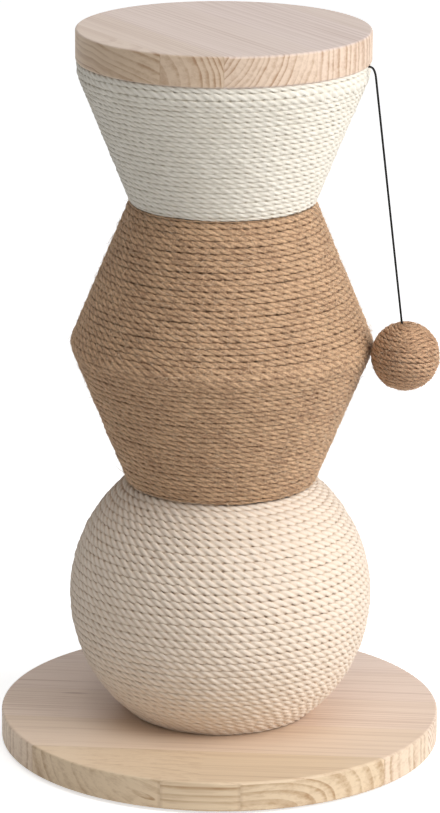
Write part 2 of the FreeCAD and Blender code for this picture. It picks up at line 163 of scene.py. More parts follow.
felt = new_material("grey_felt", Roughness=0.95, Sheen_Weight=0.35)
tree = felt.node_tree
fibres = noise(tree, place_of(tree), 900, detail=4)
into(felt, "Base Color", mixed(tree, fibres, (0.20, 0.195, 0.19, 1), (0.34, 0.335, 0.32, 1)))
bump(felt, fibres, strength=0.5, distance=0.0006)
dress("base_pads", felt)


# ------------------------------------------------------------------ base board
# Round board, 300 mm across, glued up from seven pine staves and turned with softened edges.
# Sanded and left pale, with a thin matt finish: growth rings show on its rim, lines on its top.

MM = 0.001
# how far rings stray, how much rings and fibres are drawn out along the log, and how uneven
# the years are, in rings
RING_WANDER = 4.2 * MM
WANDER_SQUEEZE = 0.06
FIBRE_SQUEEZE = 0.02
YEAR_DRIFT = 2.2
# how dark the wood is at each share of a year's growth
LATE_WOOD = ((0.35, 0.12), (0.60, 0.52), (0.76, 1.0), (0.92, 0.9))
# how far the outermost staves reach past their joints
OUTER_STAVE = 60 * MM


def pine_group():
    """Pine cut from a log whose heart lies at a given place: rings, fibres and their colour."""
    tree = bpy.data.node_groups.new("pine_grain", "ShaderNodeTree")
    for name, way, kind in (("Across", "INPUT", "Float"), ("Height", "INPUT", "Float"),
                            ("Along", "INPUT", "Float"), ("Rings", "INPUT", "Float"),
                            ("Narrowing", "INPUT", "Float"), ("Stave", "INPUT", "Float"),
                            ("Ring Strength", "INPUT", "Float"), ("Pale", "INPUT", "Color"),
                            ("Dark", "INPUT", "Color"), ("Color", "OUTPUT", "Color"),
                            ("Ring", "OUTPUT", "Float"), ("Relief", "OUTPUT", "Float")):
        tree.interface.new_socket(name=name, in_out=way, socket_type="NodeSocket" + kind)
    given = tree.nodes.new("NodeGroupInput").outputs
    across, height, stave = given["Across"], given["Height"], given["Stave"]

    def in_log(squeeze):
        """The point's place in the log, squeezed lengthways, so that noise runs along it."""
        run = maths(tree, "MULTIPLY", given["Along"], squeeze)
        return add(tree, "CombineXYZ", (0, across), (1, height), (2, run)).outputs[0]

    # each stave comes from another log, so its noise is read elsewhere
    other = add(tree, "CombineXYZ", (0, stave), (1, stave), (2, stave)).outputs[0]
    own = add(tree, "VectorMath", (0, in_log(WANDER_SQUEEZE)), (1, other), operation="ADD")
    own = own.outputs[0]
    # how many rings lie between the heart and the point, with rings that wander
    squares = maths(tree, "ADD", maths(tree, "POWER", across, 2.0),
                    maths(tree, "POWER", height, 2.0))
    wander = maths(tree, "SUBTRACT", noise(tree, own, 38), 0.5)
    wander = maths(tree, "MULTIPLY", wander, RING_WANDER)
    radius = maths(tree, "ADD", maths(tree, "SQRT", squares), wander)
    rate = maths(tree, "ADD", given["Rings"], maths(tree, "MULTIPLY", radius, given["Narrowing"]))
    rings = maths(tree, "MULTIPLY", radius, rate)
    uneven = noise(tree, add(tree, "CombineXYZ", (0, rings), (1, stave)).outputs[0], 0.45)
    rings = maths(tree, "ADD", rings, maths(tree, "MULTIPLY", uneven, YEAR_DRIFT))
    # late wood darkens through each year and ends at once
    late = add(tree, "ValToRGB", ("Fac", maths(tree, "FRACT", rings)))
    stops = late.color_ramp.elements
    stops[1].color = (0, 0, 0, 1)
    for place, value in LATE_WOOD:
        stops.new(place).color = (value, value, value, 1)
    # some years are darker than others, and rings fade here and there
    year = add(tree, "CombineXYZ", (0, maths(tree, "FLOOR", rings)), (1, stave)).outputs[0]
    strong = remap(tree, noise(tree, year, 3.7, detail=0), 0.3, 0.7, 0.45, 1.15)
    fading = remap(tree, noise(tree, own, 17, detail=1), 0.4, 0.6, 0.6, 1.15)
    ring = maths(tree, "MULTIPLY", maths(tree, "MULTIPLY", late.outputs[0], strong), fading)
    # fibres run along the stave
    along_fibres = in_log(FIBRE_SQUEEZE)
    fibre = noise(tree, along_fibres, 1400, detail=3, rough=0.6)
    soft = noise(tree, along_fibres, 160)
    streak = noise(tree, along_fibres, 430)
    share = maths(tree, "MULTIPLY", ring, given["Ring Strength"])
    for pattern, weight in ((fibre, 0.5), (soft, 0.8), (streak, 0.9)):
        swing = maths(tree, "MULTIPLY", maths(tree, "SUBTRACT", pattern, 0.5), weight)
        share = maths(tree, "ADD", share, swing)
    share = add(tree, "Clamp", (0, share)).outputs[0]
    put = tree.nodes.new("NodeGroupOutput").inputs
    tree.links.new(mixed(tree, share, given["Pale"], given["Dark"]), put["Color"])
    tree.links.new(ring, put["Ring"])
    sunk = maths(tree, "MULTIPLY", ring, 0.6)
    tree.links.new(maths(tree, "SUBTRACT", fibre, sunk), put["Relief"])
    return tree


pine_grain = pine_group()


def pine_board(name, direction, joints, staves, middle, face, rim, calm, knots=()):
    """Pine of a glued board. The direction of its grain is in degrees, its joints are distances
    across it, and middle is how high the middle of its thickness lies. Each stave is (heart
    across, heart above the board's middle, the heart's slope in the stave's left half, ring
    spacing at the stave's low side, at its high side, yellowness). Face and rim are (pale, dark,
    ring strength): end grain drinks the finish and shows its rings more. Calm is the (middle,
    half width) along the board where rings are faint. Knots are small streaks, as (along, across,
    half length, half width)."""
    material = new_material(name, Coat_Weight=0.05, Coat_Roughness=0.35)
    tree = material.node_tree
    at = add(tree, "TexCoord").outputs["Object"]
    turn = math.radians(direction)
    along = add(tree, "VectorMath", (0, at), (1, (math.cos(turn), math.sin(turn), 0)),
                operation="DOT_PRODUCT").outputs["Value"]
    across = add(tree, "VectorMath", (0, at), (1, (math.sin(turn), -math.cos(turn), 0)),
                 operation="DOT_PRODUCT").outputs["Value"]
    level = add(tree, "SeparateXYZ", (0, at)).outputs[2]
    stave = 0.5
    for joint in joints:
        stave = maths(tree, "ADD", stave, maths(tree, "GREATER_THAN", across, joint))
    where = maths(tree, "DIVIDE", stave, len(staves))
    edges = (joints[0] - OUTER_STAVE, *joints, joints[-1] + OUTER_STAVE)
    rows = []
    for index, (heart, rise, slope, low, high, tint) in enumerate(staves):
        near, far = (math.hypot(edges[index + side] - heart, rise) for side in (0, 1))
        narrowing = (1 / high - 1 / low) / (2 * (far - near))
        rings = 1 / low - 2 * narrowing * near
        rows.append((heart, rise, slope, rings, narrowing, tint))

    def of_the_stave(values):
        """The value of the stave that the point lies in, read from an evenly stepped ramp."""
        margin = 0.01
        least, most = min(values) - margin, max(values) + margin
        ramp = add(tree, "ValToRGB", ("Fac", where))
        ramp.color_ramp.interpolation = "CONSTANT"
        stops = ramp.color_ramp.elements
        for index, value in enumerate(values):
            stop = stops[index] if index < 2 else stops.new(0.999)
            stop.position = index / len(values)
            share = (value - least) / (most - least)
            stop.color = (share, share, share, 1)
        return remap(tree, ramp.outputs[0], 0.0, 1.0, least, most)

    heart, rise, slope, rings, narrowing, yellow = [of_the_stave(column) for column in zip(*rows)]
    up = maths(tree, "SUBTRACT", maths(tree, "SUBTRACT", level, middle), rise)
    left = maths(tree, "MINIMUM", along, 0.0)
    up = maths(tree, "SUBTRACT", up, maths(tree, "MULTIPLY", left, slope))
    facing = add(tree, "SeparateXYZ", (0, add(tree, "NewGeometry").outputs["Normal"])).outputs[2]
    side = remap(tree, maths(tree, "ABSOLUTE", facing), 0.35, 0.9, 1.0, 0.0)
    strength = remap(tree, side, 0.0, 1.0, face[2], rim[2])
    away = maths(tree, "ABSOLUTE", maths(tree, "SUBTRACT", along, calm[0]))
    shown = remap(tree, away, calm[1] * 0.7, calm[1], 0.25, 1.0)
    grain = tree.nodes.new("ShaderNodeGroup")
    grain.node_tree = pine_grain
    for socket, source in (("Across", maths(tree, "SUBTRACT", across, heart)), ("Height", up),
                           ("Along", along), ("Rings", rings), ("Narrowing", narrowing),
                           ("Stave", maths(tree, "MULTIPLY", stave, 3.17)),
                           ("Ring Strength", maths(tree, "MULTIPLY", strength, shown)),
                           ("Pale", mixed(tree, side, face[0], rim[0])),
                           ("Dark", mixed(tree, side, face[1], rim[1]))):
        tree.links.new(source, grain.inputs[socket])
    # some staves are yellower than others
    hue = mixed(tree, yellow, (1.0, 0.985, 1.05, 1), (0.86, 0.81, 0.70, 1))
    tinted = add(tree, "VectorMath", (0, grain.outputs["Color"]), (1, hue), operation="MULTIPLY")
    tinted = tinted.outputs[0]
    for knot_along, knot_across, half_length, half_width in knots:
        off = 0.0
        for value, spot, half in ((along, knot_along, half_length),
                                  (across, knot_across, half_width)):
            part = maths(tree, "DIVIDE", maths(tree, "SUBTRACT", value, spot), half)
            off = maths(tree, "ADD", off, maths(tree, "POWER", part, 2.0))
        tinted = mixed(tree, remap(tree, off, 0.1, 1.0, 0.5, 0.0), tinted, (0.36, 0.20, 0.13, 1))
    # a hair-thin glue line between staves
    clear = 1.0
    for joint in joints:
        near = maths(tree, "ABSOLUTE", maths(tree, "SUBTRACT", across, joint))
        clear = maths(tree, "MULTIPLY", clear, remap(tree, near, 0.1 * MM, 0.4 * MM, 0.0, 1.0))
    line = maths(tree, "MULTIPLY", maths(tree, "SUBTRACT", 1.0, clear), 0.3)
    into(material, "Base Color", mixed(tree, line, tinted, (0.42, 0.27, 0.16, 1)))
    into(material, "Roughness", remap(tree, grain.outputs["Ring"], 0.0, 1.0, 0.56, 0.46))
    bump(material, grain.outputs["Relief"], strength=0.18, distance=0.0003)
    return material


base_pine = pine_board(
    "pine_of_the_base",
    direction=-4.8,
    joints=(-0.1284, -0.0732, -0.018, 0.0372, 0.0924, 0.1476),
    staves=((-0.165, 0.06, 0.05, 0.0030, 0.0034, 0.1),
            (-0.040, 0.03, 0.01, 0.0044, 0.0036, 0.0),
            (-0.150, -0.05, 0.01, 0.0034, 0.0030, 0.1),
            (0.110, -0.07, 0.01, 0.0030, 0.0036, 0.3),
            (-0.060, 0.004, 0.0, 0.0095, 0.0085, 0.6),
            (0.145, -0.0115, -0.25, 0.0095, 0.0052, 1.0),
            (0.147, -0.08, 0.01, 0.0056, 0.0056, 1.0)),
    middle=12.25 * MM,
    face=((0.86, 0.70, 0.56, 1), (0.56, 0.38, 0.26, 1), 0.50),
    rim=((0.86, 0.71, 0.56, 1), (0.43, 0.26, 0.13, 1), 1.05),
    calm=(-0.070, 0.038),
    knots=((-0.1017, -0.0112, 0.011, 0.0022),))
dress("base_board", base_pine)


# ------------------------------------------------------------------ bolt, washer, inserts, studs
# The base is drawn up to the ball by a socket bolt, and studs join the forms to each other and
# to the top board, all into flanged inserts. Zinc-plated steel, never seen once it is built.

steel = new_material("zinc_plated_steel", Metallic=1.0)
tree = steel.node_tree
worn = noise(tree, place_of(tree), 260, detail=3)
into(steel, "Base Color", mixed(tree, worn, (0.52, 0.53, 0.54, 1), (0.72, 0.73, 0.74, 1)))
into(steel, "Roughness", remap(tree, worn, 0.3, 0.7, 0.28, 0.45))
bump(steel, noise(tree, place_of(tree), 2200), strength=0.08, distance=0.0002)
for node in ("base_washer", "base_bolt", "insert_nuts", "joining_studs", "board_insert"):
    dress(node, steel)


# ------------------------------------------------------------------ shells and discs in the forms
# The ball's rope is glued to two moulded half shells, and the other ropes to rolled card.
# Plywood discs close each form's ends and carry the inserts.

moulded = new_material("moulded_shell", Roughness=0.6)
tree = moulded.node_tree
cloudy = noise(tree, place_of(tree), 60, detail=3)
into(moulded, "Base Color", mixed(tree, cloudy, (0.46, 0.45, 0.43, 1), (0.52, 0.51, 0.49, 1)))
bump(moulded, noise(tree, place_of(tree), 1500), strength=0.1, distance=0.0003)
for node in ("ball_lower_shell", "ball_upper_shell"):
    dress(node, moulded)

card = new_material("rolled_card", Roughness=0.85)
tree = card.node_tree
pulp = noise(tree, place_of(tree, scale=(1, 1, 0.3)), 500, detail=4)
into(card, "Base Color", mixed(tree, pulp, (0.36, 0.25, 0.15, 1), (0.52, 0.38, 0.25, 1)))
bump(card, pulp, strength=0.2, distance=0.0003)
for node in ("cone_lower_shell", "cone_upper_shell", "collar_shell"):
    dress(node, card)

plywood = new_material("plywood", Roughness=0.6)
tree = plywood.node_tree
ply = add(tree, "TexWave", ("Vector", place_of(tree)), ("Scale", 90), ("Distortion", 0.5),
          bands_direction="Z").outputs[1]
veins = noise(tree, place_of(tree, scale=(1, 12, 1)), 60, detail=4)
share = maths(tree, "ADD", maths(tree, "MULTIPLY", ply, 0.4), maths(tree, "MULTIPLY", veins, 0.5))
into(plywood, "Base Color", mixed(tree, share, (0.72, 0.55, 0.37, 1), (0.50, 0.33, 0.19, 1)))
bump(plywood, veins, strength=0.2, distance=0.0003)
for node in ("ball_lower_disc", "ball_upper_disc", "cone_lower_disc", "cone_waist_disc",
             "cone_upper_disc", "collar_lower_disc", "collar_upper_disc"):
    dress(node, plywood)


# ------------------------------------------------------------------ ball rope
# Plump cream rope, three strands, wound from the base board to the ball's head and glued row
# against row. Its cut ends taper into the first and last turn, at the back of the post.

BALL_MIDDLE = 104.61 * MM
BALL_RADIUS = 102.8 * MM
BALL_FOOT = 22.5 * MM
BALL_HEAD = 186.15 * MM


def run_lengths(points):
    """How far each point lies along a line from its start."""
    return np.concatenate([[0], np.cumsum(np.linalg.norm(np.diff(points, axis=0), axis=1))])


def wobble(rng, lengths, reach, every):
    """Smooth random drift along a rope: up to about reach, with a new value at each step."""
    stations = np.arange(0, lengths[-1] + 2 * every, every)
    values = rng.normal(0, reach / 2, len(stations))
    place = lengths / every
    low = np.floor(place).astype(int)
    part = place - low
    part = part * part * (3 - 2 * part)
    return values[low] * (1 - part) + values[low + 1] * part


def wound(outline, pitch, depth, step):
    """Centre line of a rope wound up a form: places, outward directions, half widths, lengths
    run and turns made. The outline is the wrap's outer surface, foot first, as (radius, height),
    and pitch a number or a function of the height. The first and last turn taper, row on row."""
    stations = 4000
    places_a_turn = 720
    least_taper = 0.02
    outline = np.array(outline, float)
    run = np.diff(outline, axis=0)
    run /= np.linalg.norm(run, axis=1)[:, None]
    tangent = np.vstack([run[:1], run[:-1] + run[1:], run[-1:]])
    tangent /= np.linalg.norm(tangent, axis=1)[:, None]
    outward = np.column_stack([tangent[:, 1], -tangent[:, 0]])
    middle = outline - outward * depth
    climbed = run_lengths(middle)
    # round a corner the rope spreads, because its outer side has further to go
    spread = np.gradient(run_lengths(outline)) / np.gradient(climbed)
    # rows: whole pitches climbed, with half rows of the tapered first and last turns
    fine = np.linspace(0, climbed[-1], stations)
    radius = np.interp(fine, climbed, middle[:, 0])
    height = np.interp(fine, climbed, middle[:, 1])
    local = pitch(height) if callable(pitch) else np.full(len(fine), pitch)
    rows = np.concatenate([[0], np.cumsum(np.diff(fine) * 2 / (local[1:] + local[:-1]))])
    total = rows[-1] + 1
    turns = np.linspace(0, total, int(total * places_a_turn))
    row = np.where(turns < 1, turns / 2, np.where(turns > total - 1, (turns + total) / 2 - 1,
                                                  turns - 0.5))
    taper = np.clip(np.minimum(turns, total - turns), least_taper, 1)
    around = np.interp(row, rows, radius)
    each = np.diff(turns) * math.pi * (around[1:] + around[:-1])
    lengths = np.concatenate([[0], np.cumsum(each)])
    even = np.linspace(0, lengths[-1], int(lengths[-1] / step))
    turns = np.interp(even, lengths, turns)
    row = np.interp(even, lengths, row)
    taper = np.interp(even, lengths, taper)
    # the rope starts at the back
    angle = math.pi / 2 + 2 * math.pi * turns
    along = np.interp(row, rows, fine)
    radius = np.interp(along, climbed, middle[:, 0])
    height = np.interp(along, climbed, middle[:, 1])
    lean = np.column_stack([np.interp(along, climbed, outward[:, 0]),
                            np.interp(along, climbed, outward[:, 1])])
    lean /= np.linalg.norm(lean, axis=1)[:, None]
    around = np.column_stack([np.cos(angle), np.sin(angle)])
    places = np.column_stack([around * radius[:, None], height])
    outwards = np.column_stack([around * lean[:, :1], lean[:, 1]])
    width = np.interp(row, rows, local) / 2 * taper * np.interp(along, climbed, spread)
    return places, outwards, width, even, turns


# a rope has three strands; each shows its crest, and dips to the valleys at both its sides
STRANDS = 3
STRAND_ROUND = ((-1.0, 1.0), (-0.5, 0.13), (0.0, 0.0), (0.5, 0.13))


def laid_rope(name, places, outwards, widths, depths, lengths, lay, valley, uneven, seed, flat,
              rough, first=0, last=None):
    """A laid rope as one closed mesh: its strands turn round its centre line once in each lay.
    Points run along the strands' crests and valleys, and keep their place on the strand. Valley
    is how deep the valleys are, as a share of the rope's radius, uneven how far the rope strays,
    and rough how much each point does. A flat under 1 squares the rope's section, as rows do
    that are pressed against each other."""
    rng = np.random.default_rng(seed)
    count = len(places)
    across = STRANDS * len(STRAND_ROUND)
    drift = wobble(rng, lengths, reach=uneven, every=0.016)
    side = wobble(rng, lengths, reach=uneven * 0.7, every=0.021)
    turn = wobble(rng, lengths, reach=0.35, every=0.05)
    fat = [1 + wobble(rng, lengths, reach=0.15, every=0.009) for _ in range(STRANDS)]
    coarse = rng.normal(0, rough, (count, across))
    tangents = np.gradient(places, axis=0)
    tangents /= np.linalg.norm(tangents, axis=1)[:, None]
    ups = np.cross(outwards, tangents)
    ups /= np.linalg.norm(ups, axis=1)[:, None]
    middles = places + outwards * drift[:, None] + ups * side[:, None]
    piece = slice(first, count if last is None else last)
    middles, outwards, ups = middles[piece], outwards[piece], ups[piece]
    widths, depths = widths[piece], depths[piece]
    angle = turn[piece] - 2 * math.pi * lengths[piece] / lay
    rings = len(middles)
    points = np.empty((rings, across, 3))
    ridge = np.empty((rings, across))
    flank = np.empty((rings, across))
    thread = np.empty((rings, across, 3))
    for strand in range(STRANDS):
        for index, (shift, dip) in enumerate(STRAND_ROUND):
            column = strand * len(STRAND_ROUND) + index
            offset = 2 * math.pi * (strand + shift / 2) / STRANDS
            swell = fat[strand][piece] if shift > -1 else np.minimum(
                fat[strand][piece], fat[strand - 1][piece])
            reach = (1 - valley * dip) * (1 + (swell - 1) * 0.6 + coarse[piece, column])
            phi = angle + offset
            out = np.sign(np.cos(phi)) * np.abs(np.cos(phi)) ** flat
            points[:, column] = (middles + outwards * (depths * reach * out)[:, None]
                                 + ups * (widths * reach * np.sin(phi))[:, None])
            ridge[:, column] = 1 - dip
            flank[:, column] = np.abs(np.sin(phi))
            thread[:, column] = np.column_stack([lengths[piece],
                                                 np.full(rings, 0.01 * math.cos(offset)),
                                                 np.full(rings, 0.01 * math.sin(offset))])
    index = np.arange(rings * across).reshape(rings, across)
    near, far = index[:-1], index[1:]
    quads = np.stack([far, np.roll(far, -1, 1), np.roll(near, -1, 1), near], axis=-1)
    quads = quads.reshape(-1, 4)
    corners = np.concatenate([quads.ravel(), index[0], index[-1][::-1]])
    sizes = np.concatenate([np.full(len(quads), 4), [across, across]])
    starts = np.concatenate([[0], np.cumsum(sizes)[:-1]])
    mesh = bpy.data.meshes.new(name)
    mesh.vertices.add(rings * across)
    mesh.vertices.foreach_set("co", points.reshape(-1).astype(np.float32))
    mesh.loops.add(len(corners))
    mesh.loops.foreach_set("vertex_index", corners.astype(np.int32))
    mesh.polygons.add(len(sizes))
    mesh.polygons.foreach_set("loop_start", starts.astype(np.int32))
    mesh.polygons.foreach_set("use_smooth", np.ones(len(sizes), bool))
    mesh.update(calc_edges=True)
    for label, kind, field, values in (("ridge", "FLOAT", "value", ridge),
                                       ("flank", "FLOAT", "value", flank),
                                       ("thread", "FLOAT_VECTOR", "vector", thread)):
        layer = mesh.attributes.new(label, kind, "POINT")
        layer.data.foreach_set(field, values.reshape(-1).astype(np.float32))
    made = bpy.data.objects.new(name, mesh)
    scene.collection.objects.link(made)
    return made


def fibre_group():
    """Twisted fibre: streaks along each strand, painted shade in the strands' valleys and in broken
    creases where rows meet, slow changes of tone, and the pale speckle of loose fibre."""
    tree = bpy.data.node_groups.new("twisted_fibre", "ShaderNodeTree")
    for name, way, kind in (("Pale", "INPUT", "Color"), ("Dark", "INPUT", "Color"),
                            ("Valley Shade", "INPUT", "Color"), ("Lint", "INPUT", "Color"),
                            ("Valley Share", "INPUT", "Float"), ("Crease Shade Share", "INPUT", "Float"),
                            ("Speckle", "INPUT", "Float"), ("Half Range", "INPUT", "Float"),
                            ("Fuzz", "INPUT", "Float"), ("Color", "OUTPUT", "Color"),
                            ("Streak", "OUTPUT", "Float")):
        tree.interface.new_socket(name=name, in_out=way, socket_type="NodeSocket" + kind)
    given = tree.nodes.new("NodeGroupInput").outputs
    thread = add(tree, "Attribute", attribute_name="thread").outputs["Vector"]
    ridge = add(tree, "Attribute", attribute_name="ridge").outputs["Fac"]
    flank = add(tree, "Attribute", attribute_name="flank").outputs["Fac"]
    streak = noise(tree, stretched(tree, thread, (0.16, 1, 1)), 1100, detail=3, rough=0.6)
    patch = noise(tree, place_of(tree), 60)
    change = noise(tree, stretched(tree, thread, (0.4, 1, 1)), 130, detail=1)
    rest = maths(tree, "MULTIPLY", maths(tree, "SUBTRACT", 1.0, given["Speckle"]), 0.5)
    share = maths(tree, "ADD", maths(tree, "MULTIPLY", streak, given["Speckle"]),
                  maths(tree, "MULTIPLY", maths(tree, "ADD", patch, change), rest))
    share = remap(tree, share, maths(tree, "SUBTRACT", 0.5, given["Half Range"]),
                  maths(tree, "ADD", 0.5, given["Half Range"]), 0.0, 1.0)
    colour = mixed(tree, share, given["Dark"], given["Pale"])
    # painted shade: the valleys between strands are darkened towards the valley shade colour
    sunk = maths(tree, "MULTIPLY", remap(tree, ridge, 0.0, 0.85, 1.0, 0.0), given["Valley Share"])
    colour = mixed(tree, sunk, colour, given["Valley Shade"])
    # painted shade in the creases where rows press together, broken up along the rope
    broken = noise(tree, stretched(tree, thread, (0.5, 1, 1)), 260)
    crease_shade = maths(tree, "MULTIPLY", remap(tree, flank, 0.62, 0.95, 0.0, given["Crease Shade Share"]),
                   remap(tree, broken, 0.4, 0.6, 0.3, 1.0))
    colour = mixed(tree, crease_shade, colour, given["Valley Shade"])
    lint = remap(tree, noise(tree, place_of(tree), 850, rough=0.7), 0.5, 0.6, 0.0, given["Fuzz"])
    put = tree.nodes.new("NodeGroupOutput").inputs
    tree.links.new(mixed(tree, lint, colour, given["Lint"]), put["Color"])
    tree.links.new(streak, put["Streak"])
    return tree


twisted_fibre = fibre_group()


def rope_material(name, pale, dark, valley, valley_shade_share, crease_shade_share, speckle, half_range,
                  fuzz, relief, **shader):
    """A rope's finish: twisted fibre in its own colours, with painted shade of the valley colour in
    its valleys and creases, on a dull shader with the values given.
    """
    material = new_material(name, Sheen_Roughness=0.5, **shader)
    tree = material.node_tree
    fibre = tree.nodes.new("ShaderNodeGroup")
    fibre.node_tree = twisted_fibre
    # valley is the colour of the painted shade in the valleys and creases, and the shares say how
    # strongly each is painted
    for socket, value in (("Pale", pale), ("Dark", dark), ("Valley Shade", valley),
                          ("Lint", [min(1.0, 1.15 * part) for part in pale]),
                          ("Valley Share", valley_shade_share), ("Crease Shade Share", crease_shade_share),
                          ("Speckle", speckle), ("Half Range", half_range), ("Fuzz", fuzz)):
        fibre.inputs[socket].default_value = value
    into(material, "Base Color", fibre.outputs["Color"])
    bump(material, fibre.outputs["Streak"], strength=relief, distance=0.0006)
    return material


def wrap(name, node, material, outline, parts, pitch, depth, step, lay, valley, uneven,
         seed, pressed, flat, rough):
    """Winds one rope up a form, in as many parts as its length needs, which meet at the back.
    Rows are a pitch apart, the rope is twice depth thick, its strands turn once in each lay, and
    its mesh has a ring at each step. Pressed is how much wider a row is than its share of the
    form: rows are pushed into each other. The rest is as in laid_rope."""
    places, outwards, widths, lengths, turns = wound(outline, pitch, depth, step)
    # the tapered ends get thinner too, and keep to the form's outside
    thin = np.clip(widths / (np.median(widths) * 0.98), 0, 1)
    depths = depth * (0.45 + 0.55 * thin)
    places = places + outwards * (depth - depths)[:, None]
    whole = np.round(np.linspace(0, turns[-1], parts + 1)[1:-1])
    cuts = [0, *np.searchsorted(turns, whole), len(places) - 1]
    for number, (first, last) in enumerate(zip(cuts[:-1], cuts[1:]), start=1):
        rope = laid_rope(f"{name}_{number}", places, outwards, widths * pressed, depths, lengths,
                         lay, valley, uneven, seed, flat, rough, first, last + 1)
        rope.data.materials.append(material)
        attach(rope, "post")
        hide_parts(node)
    return places, outwards


lowest = -math.asin((BALL_MIDDLE - BALL_FOOT) / BALL_RADIUS)
highest = math.asin((BALL_HEAD - BALL_MIDDLE) / BALL_RADIUS)
ball_outline = [(BALL_RADIUS * math.cos(a), BALL_MIDDLE + BALL_RADIUS * math.sin(a))
                for a in np.linspace(lowest, highest, 200)]
# the valley colour is painted shade in the rope's valleys and creases
cotton = rope_material("cream_cotton_rope", pale=(0.92, 0.795, 0.675, 1),
                       dark=(0.83, 0.70, 0.57, 1), valley=(0.62, 0.45, 0.30, 1),
                       valley_shade_share=0.55, crease_shade_share=0.55, speckle=0.5, half_range=0.14,
                       fuzz=0.0, relief=0.35, Roughness=0.8, Sheen_Weight=0.2,
                       Specular_IOR_Level=0.2)
wrap("ball_rope", "ball_rope_wrap", cotton, ball_outline, parts=3,
     pitch=5.2 * MM, depth=2.6 * MM, step=0.98 * MM, lay=21 * MM, valley=0.33, uneven=0.24 * MM,
     seed=11, pressed=1.22, flat=0.46, rough=0.018)


# ------------------------------------------------------------------ jute rope
# Brown hairy jute rope wound round the double cone, over its softened waist, about fifty rows.
# Loose fibres stand out of it all over, as on any raw jute.

CONE_FOOT = (64.1 * MM, BALL_HEAD)
WAIST = (102.6 * MM, 281.5 * MM)
NECK = (62.4 * MM, 379.1 * MM)
WAIST_ROUND = 10 * MM
JUTE_DEPTH = 2.1 * MM


def rounded_corner(before, corner, after, radius):
    """Points of the arc that rounds the corner between two straight runs."""
    count = 14
    before, corner, after = (Vector(p) for p in (before, corner, after))
    back = (before - corner).normalized()
    on = (after - corner).normalized()
    half = back.angle(on) / 2
    centre = corner + (back + on).normalized() * radius / math.sin(half)
    start = corner + back * radius / math.tan(half) - centre
    end = corner + on * radius / math.tan(half) - centre
    sweep = math.atan2(start.x * end.y - start.y * end.x, start.dot(end))
    first = math.atan2(start.y, start.x)
    angles = [first + sweep * i / (count - 1) for i in range(count)]
    return [(centre.x + radius * math.cos(a), centre.y + radius * math.sin(a)) for a in angles]


jute_outline = [CONE_FOOT, *rounded_corner(CONE_FOOT, WAIST, NECK, WAIST_ROUND), NECK]
# the valley colour is painted shade in the rope's valleys and creases
jute = rope_material("jute_rope", pale=(0.78, 0.51, 0.30, 1), dark=(0.31, 0.16, 0.08, 1),
                     valley=(0.13, 0.055, 0.02, 1), valley_shade_share=0.62, crease_shade_share=0.9,
                     speckle=0.72, half_range=0.08, fuzz=0.45, relief=0.8, Roughness=0.62,
                     Specular_IOR_Level=0.6)
jute_places, jute_outwards = wrap(
    "jute_rope", "jute_rope_wrap", jute, jute_outline, parts=5, pitch=4.15 * MM,
    depth=JUTE_DEPTH, step=0.86 * MM, lay=23 * MM, valley=0.27, uneven=0.42 * MM, seed=23,
    pressed=1.17, flat=0.50, rough=0.07)


def loose_fibres(name, places, outwards, depth, count, reach, thick, lift, seed):
    """Hairs that stand out of a rope: each a thin curved spike that leaves the rope's face,
    mostly along the rope, and ends in the air. Reach is their usual length, thick their radius
    at the root, and lift how steeply they rise."""
    corners = 3
    steps = 3
    droop = 0.12
    rng = np.random.default_rng(seed)
    chosen = rng.integers(2, len(places) - 2, count)
    out = outwards[chosen]
    ahead = places[chosen + 1] - places[chosen - 1]
    ahead /= np.linalg.norm(ahead, axis=1)[:, None]
    up = np.cross(out, ahead)
    lean = rng.uniform(-1.1, 1.1, count)[:, None]
    face = out * np.cos(lean) ** 0.5 + up * np.sin(lean)
    root = places[chosen] + face * depth * 0.9
    heading = rng.normal(0, 0.75, count) + math.pi * rng.integers(0, 2, count)
    going = ahead * np.cos(heading)[:, None] + up * np.sin(heading)[:, None]
    length = rng.gamma(3.0, reach / 3.0, count).clip(reach * 0.3, reach * 2.6)[:, None]
    rise = (rng.gamma(1.3, lift / 1.3, count) + 0.05).clip(0, 0.9)[:, None]
    curl = rng.normal(0, 0.5, count)[:, None]
    sideways = np.cross(out, going)
    spots = []
    for step in range(steps):
        share = step / steps
        centre = (root + going * length * share + out * length * rise * share ** 1.3
                  + sideways * curl * length * share ** 2 - out * length * droop * share ** 2)
        radius = thick * (1 - share) ** 0.6
        ring = []
        for corner in range(corners):
            a = 2 * math.pi * corner / corners
            ring.append(centre + (out * math.cos(a) + sideways * math.sin(a)) * radius)
        spots.append(np.stack(ring, axis=1))
    tips = root + going * length + out * length * (rise - droop) + sideways * curl * length
    spots.append(tips[:, None])
    points = np.concatenate(spots, axis=1)
    faces = [(2, 1, 0)]
    for step in range(steps - 1):
        for corner in range(corners):
            after = (corner + 1) % corners
            near, far = step * corners, (step + 1) * corners
            faces.append((near + corner, near + after, far + after))
            faces.append((near + corner, far + after, far + corner))
    tip = steps * corners
    for corner in range(corners):
        faces.append((tip - corners + corner, tip - corners + (corner + 1) % corners, tip))
    each = points.shape[1]
    faces = (np.array(faces)[None] + np.arange(count)[:, None, None] * each).reshape(-1, 3)
    mesh = bpy.data.meshes.new(name)
    mesh.from_pydata(points.reshape(-1, 3).tolist(), [], faces.tolist())
    mesh.shade_smooth()
    made = bpy.data.objects.new(name, mesh)
    scene.collection.objects.link(made)
    return made


